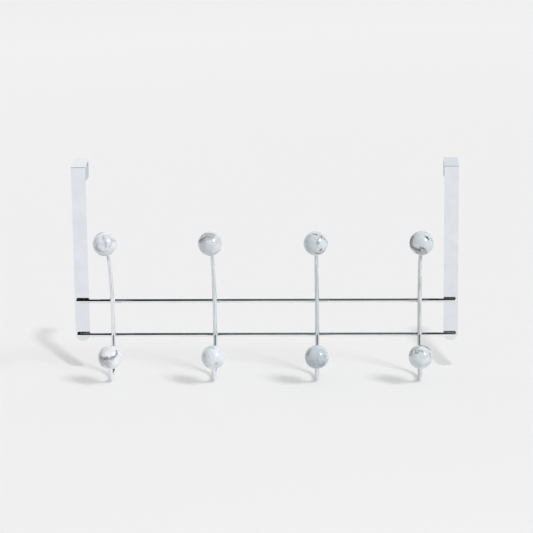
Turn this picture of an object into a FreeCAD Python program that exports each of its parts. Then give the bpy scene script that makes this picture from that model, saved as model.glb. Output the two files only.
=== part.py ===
import FreeCAD, Part
import math
import os

# Over door hook rack: two bent steel straps, two rails across them and four double wire hooks with ball ends.
# The frame is the door's: X runs along the door, Y goes back through it and Z is up. The origin is the middle
# of the door's top front edge, so the door's front face is Y = 0 and its top is Z = 0. Sizes are millimetres.

# Straps, folded square in a press from flat strip, so that each bend is nearly sharp inside and out
strap_width = 15.0
strap_thickness = 1.5
strap_spacing = 390.0
door_gap = 36.0
leg_drop = 188.5
lip_drop = 23.5
inside_bend_radius = 0.3
outside_bend_radius = 0.4
strip_edge_radius = 0.2

# Rails, round rod across the fronts of the straps
rail_diameter = 4.5
rail_lift = 7.5  # the lower rail over the tips of the legs
rail_spacing = 37.5
rail_end_inset = 1.5
rail_end_radius = 1.2

# Hook wires, one length of wire for an arm above and a hook below
wire_diameter = 4.5
hook_count = 4
hook_spacing = 108.0
arm_bend_radius = 107.0
arm_bend_angle = 63.5
lower_run = 21.2
hook_bend_radius = 21.6
hook_bend_angle = 157.7
neck_length = 1.3
wire_end_chamfer = 0.4

# Balls on the wire ends
ball_diameter = 25.0
ball_mouth_diameter = 6.5
ball_hole_depth = 11.0
ball_hole_clearance = 0.1

# How far a rod sinks into what it is welded to
weld_depth = 0.3

# Points nearer than this are the same point
same_point = 0.001

parts_folder = "parts"


def point(across, back, up):
    return FreeCAD.Vector(across, back, up)


class Path:
    """A wire's centre line in the plane square to the rails, laid down in runs and bends as it is bent.
    Its heading is an angle from straight up, through straight out from the door, to straight down."""

    def __init__(self, start, heading):
        self.start = start
        self.at = start
        self.heading = heading
        self.edges = []

    def direction(self):
        return point(0, -math.sin(self.heading), math.cos(self.heading))

    def run(self, length):
        end = self.at + self.direction() * length
        self.edges.append(Part.makeLine(self.at, end))
        self.at = end

    def bend(self, radius, angle):
        """Bends the line by an angle, which is negative where it turns towards straight up."""
        side = math.copysign(1.0, angle)
        inward = point(0, -math.cos(self.heading), -math.sin(self.heading)) * side
        centre = self.at + inward * radius
        middle = self.on_bend(centre, radius, self.heading + angle / 2, side)
        end = self.on_bend(centre, radius, self.heading + angle, side)
        self.edges.append(Part.Arc(self.at, middle, end).toShape())
        self.at = end
        self.heading += angle

    @staticmethod
    def on_bend(centre, radius, heading, side):
        """The point of a bend where the line has this heading."""
        return centre + point(0, math.cos(heading), math.sin(heading)) * (radius * side)


# Straps

def strap_section():
    """The strap's side view: leg, flange and lip as one band folded square at its corners."""
    leg_end = -(leg_drop - strap_width / 2)
    lip_end = -(lip_drop - strap_width / 2)
    outer = [
        point(0, -strap_thickness, leg_end),
        point(0, -strap_thickness, strap_thickness),
        point(0, door_gap + strap_thickness, strap_thickness),
        point(0, door_gap + strap_thickness, lip_end),
    ]
    inner = [
        point(0, door_gap, lip_end),
        point(0, door_gap, 0),
        point(0, 0, 0),
        point(0, 0, leg_end),
    ]
    face = Part.Face(Part.makePolygon(outer + inner + outer[:1]))
    band = face.extrude(point(strap_width, 0, 0))
    band = round_corners(band, outer[1:3], outside_bend_radius)
    return round_corners(band, inner[1:3], inside_bend_radius)


def round_corners(band, corners, radius):
    """Rounds the edges that run straight across the band from these corners of its side view."""
    edges = []
    for edge in band.Edges:
        left = min((vertex.Point for vertex in edge.Vertexes), key=lambda place: place.x)
        runs_across = edge.BoundBox.XLength > strap_width - same_point
        if runs_across and any(left.isEqual(corner, same_point) for corner in corners):
            edges.append(edge)
    return band.makeFillet(radius, edges)


def strap_blank():
    """One strap standing with its left edge at X = 0: the band, with a round tip on its leg and its lip."""
    radius = strap_width / 2
    back = point(0, 1, 0)
    leg_centre = point(radius, -strap_thickness, radius - leg_drop)
    lip_centre = point(radius, door_gap, radius - lip_drop)
    leg_tip = Part.makeCylinder(radius, strap_thickness, leg_centre, back)
    lip_tip = Part.makeCylinder(radius, strap_thickness, lip_centre, back)
    blank = strap_section().fuse([leg_tip, lip_tip]).removeSplitter()
    return blank.makeFillet(strip_edge_radius, outline_edges(blank))


def outline_edges(blank):
    """The edges along both sides of the strip, on both its faces, and round its two tips."""
    seams = [strap_width / 2 - leg_drop, strap_width / 2 - lip_drop]
    edges = []
    for edge in blank.Edges:
        middle = edge.valueAt((edge.FirstParameter + edge.LastParameter) / 2)
        on_side = middle.x < same_point or middle.x > strap_width - same_point
        on_tip = min(edge.BoundBox.XLength, edge.BoundBox.ZLength) > strap_thickness
        at_seam = any(abs(middle.z - height) < same_point for height in seams)
        if (on_side or on_tip) and not at_seam:
            edges.append(edge)
    return edges


def strap(centre):
    return strap_blank().translated(point(centre - strap_width / 2, 0, 0))


# Rails and hook wires

lower_rail_drop = leg_drop - rail_lift
upper_rail_drop = lower_rail_drop - rail_spacing
rail_back = -strap_thickness - rail_diameter / 2 + weld_depth
rod_to_rod = (rail_diameter + wire_diameter) / 2 - weld_depth


def rail(drop):
    """A rod with rounded ends, its back pressed flat where it is welded to the straps."""
    length = strap_spacing + strap_width - 2 * rail_end_inset
    start = point(-length / 2, rail_back, -drop)
    rod = Part.makeCylinder(rail_diameter / 2, length, start, point(1, 0, 0))
    ends = [edge for edge in rod.Edges if edge.BoundBox.XLength < same_point]
    rod = rod.makeFillet(rail_end_radius, ends)
    for side in (-1, 1):
        left = side * strap_spacing / 2 - strap_width / 2
        corner = point(left, -strap_thickness, -drop - rail_diameter / 2)
        rod = rod.cut(Part.makeBox(strap_width, strap_thickness, rail_diameter, corner))
    return rod


def hook_paths():
    """The arm's and the hook's centre lines. They part half way between the rails, where the wire is upright,
    and lean away from the door from there, so that the wire just sinks into both rails."""
    half_spacing = rail_spacing / 2
    reach = math.sqrt((arm_bend_radius + rod_to_rod) ** 2 - half_spacing ** 2)
    start = point(0, rail_back + arm_bend_radius - reach, -upper_rail_drop - half_spacing)
    arm = Path(start, 0.0)
    arm.bend(arm_bend_radius, math.radians(arm_bend_angle))
    arm.run(neck_length + ball_hole_depth)
    lean_at_rail = math.asin(half_spacing / (arm_bend_radius + rod_to_rod))
    hook = Path(start, math.pi)
    hook.bend(arm_bend_radius, -lean_at_rail)
    hook.run(lower_run)
    hook.bend(hook_bend_radius, -math.radians(hook_bend_angle))
    hook.run(neck_length + ball_hole_depth)
    return arm, hook


def bent_rod(path):
    """The wire along one path from the upright stretch between the rails, with its tip chamfered."""
    section = Part.Circle(path.start, point(0, 0, 1), wire_diameter / 2).toShape()
    rod = Part.Wire(path.edges).makePipeShell([Part.Wire(section)], True, True)
    tip = min(rod.Edges, key=lambda edge: edge.CenterOfMass.distanceToPoint(path.at))
    return rod.makeChamfer(wire_end_chamfer, [tip])


def hook_wire():
    arm, hook = hook_paths()
    return bent_rod(arm).fuse(bent_rod(hook)).removeSplitter()


# Balls

mouth_height = math.sqrt((ball_diameter ** 2 - ball_mouth_diameter ** 2) / 4)


def ball_blank():
    """A ball about the origin with a small flat below, where a blind hole goes in for the wire end."""
    hole_radius = (wire_diameter + ball_hole_clearance) / 2
    mouth_radius = ball_mouth_diameter / 2
    hole_top = ball_hole_depth - mouth_height
    outline = [
        Part.makeLine(point(0, 0, hole_top), point(hole_radius, 0, hole_top)),
        Part.makeLine(point(hole_radius, 0, hole_top), point(hole_radius, 0, -mouth_height)),
        Part.makeLine(point(hole_radius, 0, -mouth_height), point(mouth_radius, 0, -mouth_height)),
        Part.Arc(
            point(mouth_radius, 0, -mouth_height),
            point(ball_diameter / 2, 0, 0),
            point(0, 0, ball_diameter / 2),
        ).toShape(),
        Part.makeLine(point(0, 0, ball_diameter / 2), point(0, 0, hole_top)),
    ]
    return Part.Face(Part.Wire(outline)).revolve(point(0, 0, 0), point(0, 0, 1), 360)


def ball_on(path):
    """A ball pushed on to the end of a wire until the wire meets the bottom of the hole."""
    centre = path.at + path.direction() * (mouth_height - ball_hole_depth)
    ball = ball_blank()
    ball.rotate(point(0, 0, 0), point(1, 0, 0), math.degrees(path.heading))
    return ball.translated(centre)


# The whole rack

def build():
    pieces = {
        "left_strap": strap(-strap_spacing / 2),
        "right_strap": strap(strap_spacing / 2),
    }
    arm, hook = hook_paths()
    wires = []
    for number in range(1, hook_count + 1):
        place = point((number - (hook_count + 1) / 2) * hook_spacing, 0, 0)
        wires.append(hook_wire().translated(place))
        pieces["hook_wire_%d" % number] = wires[-1]
        pieces["upper_ball_%d" % number] = ball_on(arm).translated(place)
        pieces["lower_ball_%d" % number] = ball_on(hook).translated(place)
    all_wires = Part.makeCompound(wires)
    pieces["upper_rail"] = rail(upper_rail_drop).cut(all_wires)
    pieces["lower_rail"] = rail(lower_rail_drop).cut(all_wires)
    return pieces


os.makedirs(parts_folder, exist_ok=True)
for name, shape in build().items():
    shape.exportStep("%s/%s.step" % (parts_folder, name))
    print("%-14s valid %s, solids %d, volume %.1f" % (name, shape.isValid(), len(shape.Solids), shape.Volume))
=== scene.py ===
import math

import bpy
import numpy as np
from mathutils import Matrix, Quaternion, Vector


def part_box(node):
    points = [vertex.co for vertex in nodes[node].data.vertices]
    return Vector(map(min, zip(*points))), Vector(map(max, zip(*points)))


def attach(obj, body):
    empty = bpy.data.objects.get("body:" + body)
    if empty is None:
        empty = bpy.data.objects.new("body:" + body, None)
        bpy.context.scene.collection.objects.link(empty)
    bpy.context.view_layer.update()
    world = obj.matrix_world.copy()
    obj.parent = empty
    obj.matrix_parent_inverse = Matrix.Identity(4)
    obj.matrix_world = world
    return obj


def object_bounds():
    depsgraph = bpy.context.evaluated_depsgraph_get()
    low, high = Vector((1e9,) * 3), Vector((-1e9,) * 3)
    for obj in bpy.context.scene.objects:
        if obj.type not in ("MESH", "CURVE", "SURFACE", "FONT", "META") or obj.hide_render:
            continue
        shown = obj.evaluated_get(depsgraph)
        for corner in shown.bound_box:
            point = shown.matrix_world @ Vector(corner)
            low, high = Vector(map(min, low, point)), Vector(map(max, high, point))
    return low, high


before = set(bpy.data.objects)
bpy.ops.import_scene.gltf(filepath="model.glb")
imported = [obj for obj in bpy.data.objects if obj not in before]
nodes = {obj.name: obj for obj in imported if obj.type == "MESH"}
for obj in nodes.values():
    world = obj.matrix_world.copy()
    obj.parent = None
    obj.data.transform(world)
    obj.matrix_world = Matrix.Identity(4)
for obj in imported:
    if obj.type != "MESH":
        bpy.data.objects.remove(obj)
cad_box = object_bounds()


# The two straps
# Each is one length of rolled steel strip, sheared with round ends, folded square over the door twice and
# plated bright. Plating keeps the faint lengthwise grain of the rolled strip under its mirror.

def tone(red, green, blue):
    """A display colour, each channel 0 to 255, as the light value that a shader works in."""
    display = np.array([red, green, blue]) / 255
    light = np.where(display <= 0.04045, display / 12.92, ((display + 0.055) / 1.055) ** 2.4)
    return (*light.tolist(), 1.0)


def add_node(tree, kind, inputs=None, **settings):
    """Adds a shader node. Each input named is set to a value, or linked where it is given an output."""
    made = tree.nodes.new(kind)
    for name, value in settings.items():
        setattr(made, name, value)
    for name, value in (inputs or {}).items():
        if isinstance(value, bpy.types.NodeSocket):
            tree.links.new(value, made.inputs[name])
        else:
            made.inputs[name].default_value = value
    return made


def new_material(name):
    """An empty node material with its shader, and the tree that both are in."""
    material = bpy.data.materials.new(name)
    material.use_nodes = True
    tree = material.node_tree
    tree.nodes.clear()
    shader = add_node(tree, "ShaderNodeBsdfPrincipled")
    add_node(tree, "ShaderNodeOutputMaterial", {"Surface": shader.outputs["BSDF"]})
    return material, tree, shader


def noise_on(tree, place, scale, detail=2.0, roughness=0.5):
    """Cloudy noise over a place vector, 0 to 1 about a middle of one half."""
    sockets = {"Vector": place, "Scale": scale, "Detail": detail, "Roughness": roughness}
    return add_node(tree, "ShaderNodeTexNoise", sockets).outputs["Fac"]


def ramp(tree, value, low, high, start=0.0, end=1.0, smooth=True):
    """Start below low, end above high, and an even or a smooth change between."""
    kind = "SMOOTHSTEP" if smooth else "LINEAR"
    sockets = {"Value": value, "From Min": low, "From Max": high, "To Min": start, "To Max": end}
    return add_node(tree, "ShaderNodeMapRange", sockets, interpolation_type=kind).outputs["Result"]


def math_on(tree, operation, *values, **settings):
    """One sum on numbers or outputs."""
    inputs = dict(enumerate(values))
    return add_node(tree, "ShaderNodeMath", inputs, operation=operation, **settings).outputs["Value"]


def measured(tree, operation, *values):
    """One sum on vectors whose result is a number."""
    inputs = dict(enumerate(values))
    return add_node(tree, "ShaderNodeVectorMath", inputs, operation=operation).outputs["Value"]


def mixed(tree, share, first, second):
    """The first colour turned into the second by a share, each colour a value or an output."""
    mix = add_node(tree, "ShaderNodeMix", {"Factor": share}, data_type="RGBA")
    for socket, colour in ((mix.inputs[6], first), (mix.inputs[7], second)):
        if isinstance(colour, bpy.types.NodeSocket):
            tree.links.new(colour, socket)
        else:
            socket.default_value = colour
    return mix.outputs[2]


def bright_plate(name, thin, thick, lengthwise, grain, sharpest, dullest, painted_light_way=(0, 0, 0), level=0.0):
    """Bright plate over drawn or rolled steel. A broad noise turns it from its thin tone to its thick one, and
    so does a place's share of the way along the painted light way, less its level: where a way is given, this
    is painted shade on the one side and a painted sheen on the other. The grain noise is squeezed by the
    lengthwise factors, so that it runs along the metal, and where it is high the mirror is dullest and the
    surface a few thousandths of a millimetre proud."""
    broad_scale, grain_height = 60.0, 0.000004
    material, tree, shader = new_material(name)
    place = add_node(tree, "ShaderNodeTexCoord").outputs["Object"]
    along = add_node(tree, "ShaderNodeMapping", {"Vector": place, "Scale": lengthwise}).outputs["Vector"]
    lines = noise_on(tree, along, grain, 3.0, 0.6)
    # Painted light: a given way paints one side darker as shade and the other lighter as a sheen.
    painted_light_share = math_on(tree, "SUBTRACT", measured(tree, "DOT_PRODUCT", place, painted_light_way), level)
    plate_and_painted_light = math_on(tree, "ADD", noise_on(tree, place, broad_scale), painted_light_share)
    colour = mixed(tree, ramp(tree, plate_and_painted_light, 0.3, 0.7), thin, thick)
    bump = add_node(tree, "ShaderNodeBump", {"Height": lines, "Distance": grain_height, "Strength": 0.5})
    tree.links.new(colour, shader.inputs["Base Color"])
    tree.links.new(ramp(tree, lines, 0.3, 0.7, sharpest, dullest), shader.inputs["Roughness"])
    tree.links.new(bump.outputs["Normal"], shader.inputs["Normal"])
    shader.inputs["Metallic"].default_value = 1.0
    return material


def finish_node(name, material):
    """Gives a carried-over node this one material."""
    for slot in nodes[name].material_slots:
        slot.material = material


def strip_plate(name, thin, thick, flange, lip):
    """Bright plate on a strap, which turns to a painted reflection tone on the flange over the door and to a
    painted shade on the lip behind it, past the two folds. Each change is spread over a short way through the
    fold's metal."""
    front_fold, rear_fold, under_flange = (-0.0012, 0.0), (0.03, 0.032), (-0.0005, 0.001)
    material = bright_plate(name, thin, thick, (1.0, 0.03, 0.03), 1400.0, 0.05, 0.1)
    tree = material.node_tree
    place = add_node(tree, "ShaderNodeTexCoord").outputs["Object"]
    parts = add_node(tree, "ShaderNodeSeparateXYZ", {"Vector": place}).outputs
    shader = tree.nodes["Principled BSDF"].inputs["Base Color"]
    # The flange's tone is a painted reflection, and the lip's tone a painted shade under the flange.
    colour = mixed(tree, ramp(tree, parts["Y"], *front_fold), shader.links[0].from_socket, flange)
    behind, below = ramp(tree, parts["Y"], *rear_fold), ramp(tree, parts["Z"], *under_flange, 1.0, 0.0)
    on_lip = math_on(tree, "MULTIPLY", behind, below)
    tree.links.new(mixed(tree, on_lip, colour, lip), shader)
    return material


# Each strap's tones: the leg's thin and thick plate, then the flange's painted reflection and the lip's painted
# shade.
strap_tones = {
    "left_strap": (tone(233, 237, 243), tone(239, 242, 248), tone(244, 249, 255), tone(217, 222, 223)),
    "right_strap": (tone(231, 235, 241), tone(237, 240, 246), tone(222, 230, 240), tone(210, 218, 218)),
}
for name, tones in strap_tones.items():
    finish_node(name, strip_plate(f"{name}_plate", *tones))


# The two rails
# Each is a straight length of drawn steel rod with tumbled ends, welded across the fronts of both straps and
# plated with them. Its grain runs the length of the rod.

rod_thin, rod_thick = tone(240, 243, 246), tone(247, 249, 251)
rail_plate = bright_plate("rail_plate", rod_thin, rod_thick, (0.02, 1.0, 1.0), 1600.0, 0.02, 0.05)
for name in ("upper_rail", "lower_rail"):
    finish_node(name, rail_plate)


# The four hook wires
# Each is one length of the same rod, bent up into an arm and down and round into a hook, and welded to the
# fronts of both rails. The grain follows the wire, whose bends all lie in a plane square to the rails.

# The wires' tones are painted light: lighter and darker copies of one plate, each giving a wire the brightness
# of its reflections. Across each wire the tone goes from painted shade on its left side to a painted sheen on
# its right.
wire_thin_and_shaded = [tone(233, 236, 242), tone(218, 224, 228), tone(205, 213, 216), tone(198, 202, 204)]
wire_thick_and_lit = [tone(247, 249, 252), tone(240, 244, 247), tone(228, 234, 237), tone(232, 235, 236)]
for number, (thin, thick) in enumerate(zip(wire_thin_and_shaded, wire_thick_and_lit), start=1):
    low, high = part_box(f"hook_wire_{number}")
    per_width = 1 / (high.x - low.x)
    # The way across the wire from its middle carries the painted shade on the left and the painted sheen on the
    # right.
    right, middle = (per_width, 0, 0), per_width * (low.x + high.x) / 2
    name = f"wire_plate_{number}"
    plate = bright_plate(name, thin, thick, (1.0, 0.03, 0.03), 1600.0, 0.02, 0.05, right, middle)
    finish_node(f"hook_wire_{number}", plate)


# The welds
# Wherever a wire crosses a rail or a rail crosses a strap, the two were pressed together hot and sank a little
# way into each other. A bead of the melted steel ran out all round the contact, and was plated with the rest.

weld_depth = 0.0003
arm_bend_radius = 0.107
turns, section_points = 48, 9
edge_inside, draw_in = 0.00003, 0.14
wire_bead, strap_bead = (0.002, 0.002), (0.006, 0.0019)


def weld_bead(name, contact, along, outward, lower, upper, half_sizes, start):
    """A closed ring of steel round a contact, a grid of turns by points of its section. The ring follows an
    ellipse of these half sizes, along and across, rippled by two sines. At each turn the section climbs from
    just inside the lower surface to just inside the upper one, in a hollow curve that draws in by a sine, and
    goes back through one point between the two pieces. Both surfaces are heights over the contact along the
    outward direction, worked out from the place along it and across."""
    turn = np.linspace(0, 2 * np.pi, turns, endpoint=False)[:, None]
    climb = np.linspace(0, 1, section_points)
    share = np.append(climb, 0.5)
    spread = np.append(1 - draw_in * np.sin(np.pi * climb), 0.5)
    ripple = 1 + 0.03 * np.sin(3 * turn + start) + 0.02 * np.sin(5 * turn - 2 * start)
    length = half_sizes[0] * np.cos(turn) * ripple * spread
    width = half_sizes[1] * np.sin(turn) * ripple * spread
    bottom, top = lower(length, width) - edge_inside, upper(length, width) + edge_inside
    height = bottom + (top - bottom) * share
    ways = np.array([along, outward.cross(along), outward])
    points = np.array(contact) + np.stack([length, width, height], axis=-1) @ ways
    ring, section = np.meshgrid(np.arange(turns), np.arange(share.size), indexing="ij")
    next_ring, next_section = (ring + 1) % turns, (section + 1) % share.size
    corners = [(ring, section), (next_ring, section), (next_ring, next_section), (ring, next_section)]
    faces = np.stack([i * share.size + j for i, j in corners], axis=-1).reshape(-1, 4)
    mesh = bpy.data.meshes.new(name)
    mesh.from_pydata(points.reshape(-1, 3).tolist(), [], faces.tolist())
    mesh.shade_smooth()
    mesh.set_sharp_from_angle(angle=math.radians(50.0))
    mesh.materials.append(weld_plate)
    bead = bpy.data.objects.new(name, mesh)
    bpy.context.scene.collection.objects.link(bead)
    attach(bead, "root")


bead_thin, bead_thick = tone(214, 219, 222), tone(236, 239, 242)
weld_plate = bright_plate("weld_plate", bead_thin, bead_thick, (1.0, 1.0, 1.0), 900.0, 0.06, 0.14)
along_door = Vector((1.0, 0.0, 0.0))
rails = {}
for name in ("upper_rail", "lower_rail"):
    low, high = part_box(name)
    rod_radius = (high.z - low.z) / 2
    rails[name] = Vector((0.0, low.y + rod_radius, (low.z + high.z) / 2))

half_spacing = (rails["upper_rail"].z - rails["lower_rail"].z) / 2
apart = 2 * rod_radius - weld_depth
reach = math.sqrt((arm_bend_radius + apart) ** 2 - half_spacing ** 2)
bend_centre = Vector((0.0, rails["upper_rail"].y - reach, rails["lower_rail"].z + half_spacing))


def rod_above(distance, offset):
    """The near side of a rod whose axis is this far over the contact, at an offset across it."""
    return distance - np.sqrt(rod_radius ** 2 - offset ** 2)


for kind, rail_middle in rails.items():
    for number in range(1, len(wire_thin_and_shaded) + 1):
        low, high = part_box(f"hook_wire_{number}")
        contact = rail_middle + along_door * (low.x + high.x) / 2
        weld_bead(
            f"weld_{kind}_wire_{number}", contact, along_door, (bend_centre - rail_middle).normalized(),
            lambda length, width: -rod_above(0.0, width), lambda length, width: rod_above(apart, length),
            wire_bead, 1.7 * number,
        )
    for number, side in enumerate(("left", "right"), start=1):
        low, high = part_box(f"{side}_strap")
        contact = Vector(((low.x + high.x) / 2, low.y, rail_middle.z))
        weld_bead(
            f"weld_{kind}_{side}_strap", contact, along_door, Vector((0.0, -1.0, 0.0)),
            lambda length, width: 0.0 * length, lambda length, width: rod_above(rod_radius - weld_depth, width),
            strap_bead, 2.3 * number,
        )


# The balls
# Eight cast resin balls with a marbled body and a polished face, each with a blind hole pushed on to a wire
# end. No two are marbled alike: every ball has tones, veins and clouds of its own over a shared veining.

viewpoint = Vector((0.09321, -2.8, 0.69553))


def vector_on(tree, operation, *values):
    """One sum on vectors, given as values or outputs, whose result is a vector."""
    inputs = dict(enumerate(values))
    return add_node(tree, "ShaderNodeVectorMath", inputs, operation=operation).outputs["Vector"]


def face_point(middle, across, up):
    """The point of a ball of radius one, seen from the viewpoint, this far right of and above its middle."""
    toward = (viewpoint - middle).normalized()
    right = Vector((-toward.y, toward.x, 0.0)).normalized()
    depth = math.sqrt(max(0.0, 1.0 - across ** 2 - up ** 2))
    return (right * across + toward.cross(right) * up + toward * depth).normalized()


def away_from_vein(tree, place, points):
    """How far a place on the ball is from a vein through these points of its face. On each leg between two
    points, the share of the way along, kept from 0 to 1, gives the leg's nearest point, which is then pushed
    out to the surface. The nearest leg counts."""
    if len(points) == 1:
        return measured(tree, "DISTANCE", place, points[0])
    nearest = None
    for start, end in zip(points, points[1:]):
        leg = end - start
        per_length = leg / leg.length_squared
        share = measured(tree, "DOT_PRODUCT", place, per_length)
        share = math_on(tree, "SUBTRACT", share, start.dot(per_length), use_clamp=True)
        foot = vector_on(tree, "NORMALIZE", vector_on(tree, "MULTIPLY_ADD", leg, share, start))
        away = measured(tree, "DISTANCE", place, foot)
        nearest = away if nearest is None else math_on(tree, "MINIMUM", nearest, away)
    return nearest


def marbled_resin(name, middle, radius, turn, light, cloud, vein, marks):
    """Marbled resin about a ball's middle, on a scale where its radius is one. The body goes from its light
    tone to its cloud tone with a soft noise, and veins run where another noise crosses one half: thin and faint
    on the face, broad and dark behind it. The ball's own marks, mostly veins and clouds and on some balls a
    painted shade along the left rim, are a width, a strength and the points of the face that the mark runs
    through. A noise bends the place that they are measured from, so that they wander, and a finer one makes
    every mark and vein patchy."""
    wander, rear_shade = 0.34, (-0.5, 0.1)
    face_width, face_strength, rear_width, rear_strength = 0.03, 0.16, 0.075, 0.95
    solid_share, faded_share = 0.15, 1.25
    material, tree, shader = new_material(name)
    place = add_node(tree, "ShaderNodeTexCoord").outputs["Object"]
    sized = {"Vector": place, "Location": -middle / radius, "Scale": (1 / radius,) * 3}
    ball = add_node(tree, "ShaderNodeMapping", sized).outputs["Vector"]
    turned = {"Vector": ball, "Rotation": (turn, 2 * turn, 3 * turn), "Location": (turn, -turn, turn)}
    own = add_node(tree, "ShaderNodeMapping", turned).outputs["Vector"]
    drift = {"Vector": own, "Scale": 2.2, "Detail": 3.0, "Roughness": 0.55}
    drift = add_node(tree, "ShaderNodeTexNoise", drift).outputs["Color"]
    moved_back = vector_on(tree, "SUBTRACT", ball, (wander / 2,) * 3)
    bent = vector_on(tree, "MULTIPLY_ADD", drift, (wander,) * 3, moved_back)

    crossing = math_on(tree, "ABSOLUTE", math_on(tree, "SUBTRACT", noise_on(tree, own, 1.25, 4.0, 0.55), 0.5))
    toward = (viewpoint - middle).normalized()
    behind = ramp(tree, measured(tree, "DOT_PRODUCT", ball, toward), *rear_shade, 1.0, 0.0)
    broad = math_on(tree, "MULTIPLY", behind, ramp(tree, crossing, 0.0, rear_width, rear_strength, 0.0))
    veins = math_on(tree, "MAXIMUM", broad, ramp(tree, crossing, 0.0, face_width, face_strength, 0.0))
    dark = math_on(tree, "MULTIPLY", veins, ramp(tree, noise_on(tree, own, 0.9), 0.44, 0.62))
    for width, strength, points in marks:
        away = away_from_vein(tree, bent, [face_point(middle, *point) for point in points])
        mark = ramp(tree, away, solid_share * width, faded_share * width, strength, 0.0)
        dark = math_on(tree, "MAXIMUM", dark, mark)

    fine = noise_on(tree, own, 4.5, 4.0, 0.62)
    dark = math_on(tree, "MULTIPLY", dark, ramp(tree, fine, 0.36, 0.56, 0.66, 1.0))
    clouds = math_on(tree, "MULTIPLY_ADD", fine, 0.35, noise_on(tree, own, 1.3, 4.0))
    body = mixed(tree, ramp(tree, clouds, 0.57, 0.79), light, cloud)
    tree.links.new(mixed(tree, dark, body, vein), shader.inputs["Base Color"])
    tree.links.new(ramp(tree, fine, 0.3, 0.7, 0.16, 0.24), shader.inputs["Roughness"])
    shader.inputs["Coat Weight"].default_value = 0.6
    shader.inputs["Coat Roughness"].default_value = 0.04
    return material


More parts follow.
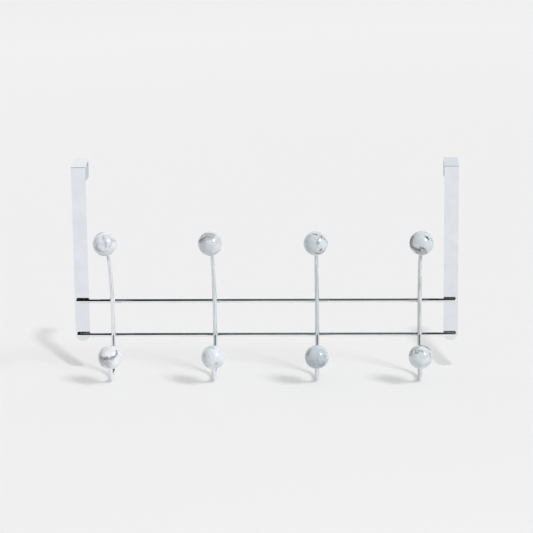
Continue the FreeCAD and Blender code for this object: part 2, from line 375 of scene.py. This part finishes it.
marbling = {
    "upper_ball_1": (tone(229, 232, 238), tone(213, 217, 225), tone(112, 117, 128), [
        (0.14, 0.4, [(-0.62, 0.0), (-0.6, -0.3), (-0.44, -0.5)]),
        (0.25, 0.5, [(-0.72, -0.32), (-0.5, -0.48)]),
        (0.2, 0.28, [(-0.5, -0.5), (-0.22, -0.6)]),
        (0.15, 0.42, [(-0.1, 0.6), (-0.02, 0.3), (0.09, 0.04), (0.06, -0.26)]),
        (0.14, 0.36, [(0.6, 0.3), (0.58, 0.04), (0.38, -0.26)]),
        (0.12, 0.3, [(0.6, 0.24), (0.9, 0.22)]),
        (0.16, 0.6, [(-0.45, -0.82), (-0.15, -0.93), (0.15, -0.93)]),
        (0.14, 0.45, [(-0.66, 0.7), (-0.42, 0.86), (-0.14, 0.95)]),
    ]),
    "upper_ball_2": (tone(214, 219, 224), tone(201, 206, 211), tone(90, 91, 98), [
        (0.19, 0.72, [(-0.9, 0.19), (-0.72, 0.32), (-0.41, 0.52)]),
        (0.15, 0.55, [(-0.41, 0.52), (-0.1, 0.5), (0.12, 0.56), (0.36, 0.68)]),
        (0.15, 0.85, [(-0.7, 0.58), (-0.54, 0.74), (-0.38, 0.84)]),
        (0.24, 0.5, [(-0.22, 0.76), (0.09, 0.82), (0.4, 0.74)]),
        (0.1, 0.45, [(-0.84, 0.08), (-0.41, 0.27), (0.03, 0.37), (0.34, 0.52)]),
        (0.07, 0.2, [(0.1, 0.1), (0.4, 0.13), (0.84, 0.06)]),
        (0.07, 0.16, [(-0.16, -0.13), (0.34, -0.12), (0.86, 0.0)]),
        (0.5, 0.16, [(-0.6, -0.25)]),
        (0.12, 0.3, [(-0.2, -0.93), (0.2, -0.92), (0.5, -0.76)]),
    ]),
    "upper_ball_3": (tone(211, 219, 225), tone(197, 206, 211), tone(74, 79, 88), [
        (0.1, 0.5, [(-0.48, 0.58), (-0.26, 0.72), (-0.08, 0.76)]),
        (0.1, 0.85, [(-0.08, 0.76), (0.1, 0.73)]),
        (0.08, 0.4, [(0.32, 0.52), (0.22, 0.24)]),
        (0.12, 0.6, [(0.24, 0.3), (0.2, 0.0)]),
        (0.13, 0.75, [(0.46, 0.58), (0.5, 0.4)]),
        (0.11, 0.5, [(0.68, 0.42), (0.84, 0.22), (0.94, 0.0)]),
        (0.12, 1.0, [(0.35, -0.61), (0.47, -0.52)]),
        (0.15, 0.7, [(0.05, -0.82), (0.41, -0.84), (0.7, -0.6)]),
        (0.07, 0.18, [(-0.02, 0.3), (0.06, 0.0), (0.18, -0.28)]),
        (0.4, 0.16, [(-0.7, -0.2), (-0.5, -0.6)]),
    ]),
    "upper_ball_4": (tone(211, 219, 223), tone(201, 210, 214), tone(52, 49, 51), [
        (0.3, 1.0, [(-0.8, 0.44), (-0.9, 0.2), (-0.92, -0.05), (-0.82, -0.28)]),
        (0.13, 0.7, [(-0.66, 0.6), (-0.78, 0.3), (-0.78, 0.0), (-0.7, -0.3)]),
        (0.16, 0.5, [(-0.72, 0.5), (-0.62, 0.68), (-0.42, 0.8)]),
        (0.2, 0.9, [(-0.78, -0.28), (-0.5, -0.52), (-0.16, -0.6)]),
        (0.11, 0.75, [(-0.16, -0.6), (0.0, -0.34), (0.19, -0.44), (0.34, -0.66), (0.46, -0.84)]),
        (0.15, 0.7, [(-0.5, -0.6), (-0.34, -0.82), (0.03, -0.93), (0.42, -0.87)]),
        (0.3, 0.4, [(-0.2, -0.74), (0.2, -0.7)]),
        (0.13, 1.0, [(0.38, 0.56), (0.54, 0.32)]),
        (0.07, 0.4, [(0.38, 0.56), (0.62, 0.62)]),
        (0.12, 0.45, [(0.76, 0.34), (0.9, 0.1)]),
    ]),
    "lower_ball_1": (tone(225, 228, 233), tone(238, 242, 247), tone(86, 87, 95), [
        (0.22, 0.85, [(-0.78, 0.04), (-0.6, -0.06), (-0.2, -0.14)]),
        (0.26, 0.7, [(-0.68, -0.06), (-0.6, -0.26)]),
        (0.17, 0.8, [(-0.2, -0.14), (0.05, -0.12), (0.31, -0.02)]),
        (0.13, 0.8, [(0.31, -0.02), (0.5, 0.16), (0.59, 0.52)]),
        (0.5, 0.5, [(-0.72, -0.3), (-0.26, -0.36)]),
        (0.3, 0.3, [(-0.2, -0.24), (0.2, -0.2)]),
        (0.24, 0.42, [(-0.28, -0.42), (-0.16, -0.8)]),
        # This mark is painted shade along the upper left rim, on the side away from the side lamp.
        (0.3, 0.3, [(-0.86, 0.2), (-0.74, 0.52)]),
    ]),
    "lower_ball_2": (tone(225, 232, 237), tone(214, 221, 226), tone(112, 119, 129), [
        (0.15, 0.55, [(-0.3, 0.84), (0.04, 0.72)]),
        (0.24, 0.4, [(0.25, -0.53)]),
        (0.2, 0.45, [(-0.5, -0.76)]),
        (0.34, 0.26, [(-0.76, 0.14), (-0.72, -0.2)]),
        (0.1, 0.14, [(-0.1, 0.45), (0.05, 0.0), (-0.05, -0.4)]),
        (0.1, 0.25, [(0.1, -0.92), (0.45, -0.8)]),
    ]),
    "lower_ball_3": (tone(201, 210, 217), tone(188, 197, 204), tone(88, 95, 106), [
        # These two marks darken the ball towards its left rim.
        (0.28, 0.6, [(-0.64, 0.52), (-0.74, 0.3)]),
        (0.3, 0.4, [(-0.82, 0.24), (-0.9, -0.1)]),
        (0.6, 0.3, [(-0.55, -0.42), (0.1, -0.48), (0.6, -0.5)]),
        (0.26, 0.45, [(-0.4, -0.3), (-0.28, -0.56)]),
        (0.24, 0.4, [(0.02, -0.24), (0.1, -0.52)]),
        (0.34, 0.6, [(0.34, -0.68), (0.56, -0.6)]),
        (0.18, 0.4, [(0.64, 0.1), (0.7, -0.16)]),
        (0.2, 0.5, [(-0.84, -0.25), (-0.66, -0.62)]),
        (0.2, 0.4, [(-0.2, -0.84), (0.1, -0.88)]),
    ]),
    "lower_ball_4": (tone(218, 225, 228), tone(206, 213, 216), tone(76, 79, 84), [
        (0.2, 1.0, [(-0.02, 0.95), (0.42, 0.86), (0.7, 0.66)]),
        (0.1, 0.8, [(0.3, 0.88), (0.7, 0.62)]),
        # This mark is painted shade along the upper left rim, on the side away from the side lamp.
        (0.3, 0.65, [(-0.54, 0.8), (-0.82, 0.4), (-0.93, 0.14)]),
        (0.12, 0.6, [(-0.4, 0.32), (-0.18, 0.38)]),
        (0.13, 0.6, [(-0.2, 0.58), (-0.02, 0.47), (0.14, 0.42)]),
        (0.16, 0.55, [(-0.5, 0.62), (-0.2, 0.82)]),
        (0.12, 0.5, [(-0.5, 0.62), (-0.36, 0.48)]),
        (0.2, 0.32, [(0.8, 0.22), (0.86, -0.06)]),
        (0.24, 0.2, [(0.76, -0.46)]),
    ]),
}

turn_between = 0.7
for number, (name, (light, cloud, vein, marks)) in enumerate(marbling.items(), start=1):
    low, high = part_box(name)
    middle, radius = (low + high) / 2, (high.x - low.x) / 2
    resin = marbled_resin(f"marble_{name}", middle, radius, turn_between * number, light, cloud, vein, marks)
    finish_node(name, resin)


# The floor
# A white table top that the rack stands on by the undersides of its hooks. It stops a little way in front,
# and the room beyond it is dark. Its paper is painted a shade whiter away from the front lamp, as painted light
# that makes up for the falloff of the lamp's light.

floor_height = cad_box[0].z
floor_tone = tone(240, 240, 240)
floor_left, floor_right = -3.0, 3.0
floor_front, floor_rear = -1.0, 7.0

sheet = bpy.data.meshes.new("table_top")
corners = [
    (floor_left, floor_front, floor_height),
    (floor_right, floor_front, floor_height),
    (floor_right, floor_rear, floor_height),
    (floor_left, floor_rear, floor_height),
]
sheet.from_pydata(corners, [], [(0, 1, 2, 3)])
table_top = bpy.data.objects.new("table_top", sheet)
bpy.context.scene.collection.objects.link(table_top)
# The paper's near and far tones are painted light that evens out the front lamp's falloff.
paper_near, paper_far = tone(238, 238, 238), tone(254, 254, 254)
front_lamp_place = Vector((0.63, -1.6, 3.2))
nearest, farthest = 3.7, 4.9
paper, tree, shader = new_material("table_paper")
place = add_node(tree, "ShaderNodeTexCoord").outputs["Object"]
from_lamp = measured(tree, "DISTANCE", place, front_lamp_place)
shade = mixed(tree, ramp(tree, from_lamp, nearest, farthest, smooth=False), paper_near, paper_far)
tree.links.new(shade, shader.inputs["Base Color"])
shader.inputs["Roughness"].default_value = 0.9
shader.inputs["Specular IOR Level"].default_value = 0.0
sheet.materials.append(paper)


# The light
# A broad lamp low on the right, a small one high in front, and an even light from all round. What the metal
# mirrors is a dark room in front and overhead with two narrow grey walls in it, a white floor and white behind,
# and low white cards that stand in front of the hooks and straps.

def aimed(name, light, place, toward):
    """Puts a light at a place, shining back along this direction from the rack to it."""
    placed = bpy.data.objects.new(name, light)
    placed.location = place
    placed.rotation_mode = "QUATERNION"
    placed.rotation_quaternion = toward.to_track_quat("Z", "Y")
    bpy.context.scene.collection.objects.link(placed)
    return placed


def screened_by(placed, kinds):
    """Lets only the nodes of these kinds cast a shadow from this lamp on to what is behind them."""
    screen = bpy.data.collections.new(f"{placed.name}_screen")
    for name, node in nodes.items():
        if any(kind in name for kind in kinds):
            screen.objects.link(node)
    placed.light_linking.blocker_collection = screen


def between(tree, value, rise, fall):
    """One between two edges and nothing beyond them, where each edge is spread from one value to another."""
    return math_on(tree, "MULTIPLY", ramp(tree, value, *rise), ramp(tree, value, *fall, 1.0, 0.0))


side_lamp_toward, side_lamp_level, side_lamp_breadth = Vector((0.62, -0.46, 0.63)), 0.42, math.radians(17.0)
side_light = bpy.data.lights.new("side_lamp", "SUN")
side_light.energy = side_lamp_level * math.pi
side_light.angle = side_lamp_breadth
side_lamp = aimed("side_lamp", side_light, Vector(), side_lamp_toward)
screened_by(side_lamp, ["ball", "hook_wire"])

front_lamp_level, front_lamp_breadth = 0.25, 0.25
front_light = bpy.data.lights.new("front_lamp", "AREA")
front_light.shape = "DISK"
front_light.size = front_lamp_breadth
front_light.energy = front_lamp_level * math.pi ** 2 * front_lamp_place.length_squared
front_lamp = aimed("front_lamp", front_light, front_lamp_place, front_lamp_place)
front_lamp.visible_glossy = False
screened_by(front_lamp, ["strap"])

around_level = 0.535
room_tone, wall_tone = tone(10, 10, 12), tone(92, 95, 90)
wall_edges = [((-0.075, -0.02), (0.018, 0.032)), ((0.032, 0.035), (0.05, 0.06))]
room_rear, room_floor, card_top = (0.4, 0.55), (-0.03, 0.0), (0.04, 0.055)
card_inner, card_outer, side_cards = (0.04, 0.05), (0.1, 0.115), (0.55, 0.7)

world = bpy.data.worlds.new("studio")
world.use_nodes = True
bpy.context.scene.world = world
tree = world.node_tree
tree.nodes.clear()
ray = add_node(tree, "ShaderNodeLightPath").outputs
direction = add_node(tree, "ShaderNodeTexCoord").outputs["Generated"]
parts = add_node(tree, "ShaderNodeSeparateXYZ", {"Vector": direction}).outputs
on_wall = 0.0
for left, right in wall_edges:
    on_wall = math_on(tree, "MAXIMUM", on_wall, between(tree, parts["X"], left, right))
mirrored = mixed(tree, on_wall, room_tone, wall_tone)
aside = math_on(tree, "ABSOLUTE", parts["X"])
near_card = between(tree, aside, card_inner, card_outer)
on_card = math_on(tree, "MAXIMUM", near_card, ramp(tree, aside, *side_cards))
on_card = math_on(tree, "MULTIPLY", on_card, ramp(tree, parts["Z"], *card_top, 1.0, 0.0))
is_white = math_on(tree, "MAXIMUM", on_card, ramp(tree, parts["Z"], *room_floor, 1.0, 0.0))
is_white = math_on(tree, "MAXIMUM", is_white, ramp(tree, parts["Y"], *room_rear))
mirrored = mixed(tree, is_white, mirrored, floor_tone)
even = add_node(tree, "ShaderNodeBackground", {"Color": (1.0, 1.0, 1.0, 1.0), "Strength": around_level})
room = add_node(tree, "ShaderNodeBackground", {"Color": mirrored})
seen = add_node(tree, "ShaderNodeBackground", {"Color": floor_tone})
lit = add_node(tree, "ShaderNodeMixShader", {0: ray["Is Glossy Ray"], 1: even.outputs[0], 2: room.outputs[0]})
shown = add_node(tree, "ShaderNodeMixShader", {0: ray["Is Camera Ray"], 1: lit.outputs[0], 2: seen.outputs[0]})
add_node(tree, "ShaderNodeOutputWorld", {"Surface": shown.outputs[0]})


# The camera
# A long lens well in front of the rack and a little to its right, looking down on it.

camera_target = Vector((0.00092, 0.0, -0.1071))
camera_roll = math.radians(-0.688)

camera_data = bpy.data.cameras.new("camera")
camera_data.sensor_width = 36.0
camera_data.lens = 186.8
camera = bpy.data.objects.new("camera", camera_data)
camera.rotation_mode = "QUATERNION"
camera.location = viewpoint
aim = (camera_target - viewpoint).to_track_quat("-Z", "Y")
camera.rotation_quaternion = aim @ Quaternion((0.0, 0.0, 1.0), camera_roll)
bpy.context.scene.collection.objects.link(camera)
bpy.context.scene.camera = camera

bpy.context.scene.view_settings.view_transform = "Standard"
